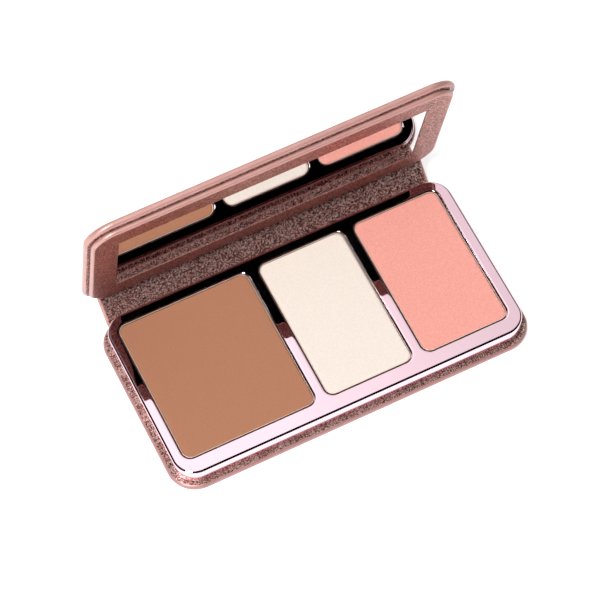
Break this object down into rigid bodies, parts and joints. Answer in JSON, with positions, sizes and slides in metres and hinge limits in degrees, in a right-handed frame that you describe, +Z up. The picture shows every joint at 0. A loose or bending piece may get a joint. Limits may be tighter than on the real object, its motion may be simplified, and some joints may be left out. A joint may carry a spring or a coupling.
{
  "type": "face powder palette",
  "caption": "Book-style leatherette palette with a mirrored lid on a spine hinge and a metallised tray of pressed-powder pans.",
  "frame": {"origin": "centre of the flat underside of the base, at rest on a table", "axes": "+X along the long side to the right, +Y from the front edge towards the hinge, +Z up"},
  "size_m": [0.1356, 0.0805, 0.0792],
  "materials": {
    "satin_leatherette": "satin dusty-rose coated leatherette",
    "glitter_liner": "fine bronze glitter fabric",
    "greyboard": "matt bookbinding board",
    "metallised_plastic": "vacuum-metallised pale pink mirror",
    "pan_metal": "bright pressed sheet",
    "bronzer_powder": "pressed matt powder",
    "highlighter_powder": "pressed pearl powder",
    "blush_powder": "pressed satin powder",
    "adhesive": "thin double-sided adhesive",
    "magnet": "nickel plated",
    "mirror": "silvered glass"
  },
  "bodies": {
    "base": {"base_cover_board": "greyboard", "base_cover_wrap": "satin_leatherette", "base_liner": "glitter_liner", "base_crease": "satin_leatherette", "tray_adhesive": "adhesive", "tray": "metallised_plastic", "bronzer_pan": "pan_metal", "highlighter_pan": "pan_metal", "blush_pan": "pan_metal", "bronzer_powder": "bronzer_powder", "highlighter_powder": "highlighter_powder", "blush_powder": "blush_powder", "bronzer_pan_glue": "adhesive", "highlighter_pan_glue": "adhesive", "blush_pan_glue": "adhesive", "base_magnet_left": "magnet", "base_magnet_right": "magnet"},
    "spine": {"spine_board": "greyboard", "spine_wrap": "satin_leatherette", "spine_liner": "glitter_liner"},
    "lid": {"lid_cover_board": "greyboard", "lid_cover_wrap": "satin_leatherette", "lid_liner": "glitter_liner", "lid_crease": "satin_leatherette", "mirror_frame_board": "greyboard", "mirror_frame_wrap": "satin_leatherette", "mirror_frame_liner": "glitter_liner", "mirror_glass": "mirror", "mirror_tape": "adhesive", "lid_plate_left": "magnet", "lid_plate_right": "magnet"}
  },
  "joints": [
    {"name": "spine_hinge", "type": "hinge", "parent": "base", "child": "spine", "pos_m": [0, 0.03603, 0.0013], "axis": [1, 0, 0], "range_deg": [-45.3, 44.7]},
    {"name": "lid_hinge", "type": "hinge", "parent": "spine", "child": "lid", "pos_m": [0, 0.04405, 0.0094], "axis": [1, 0, 0], "range_deg": [-57.5, 32.5]}
  ]
}
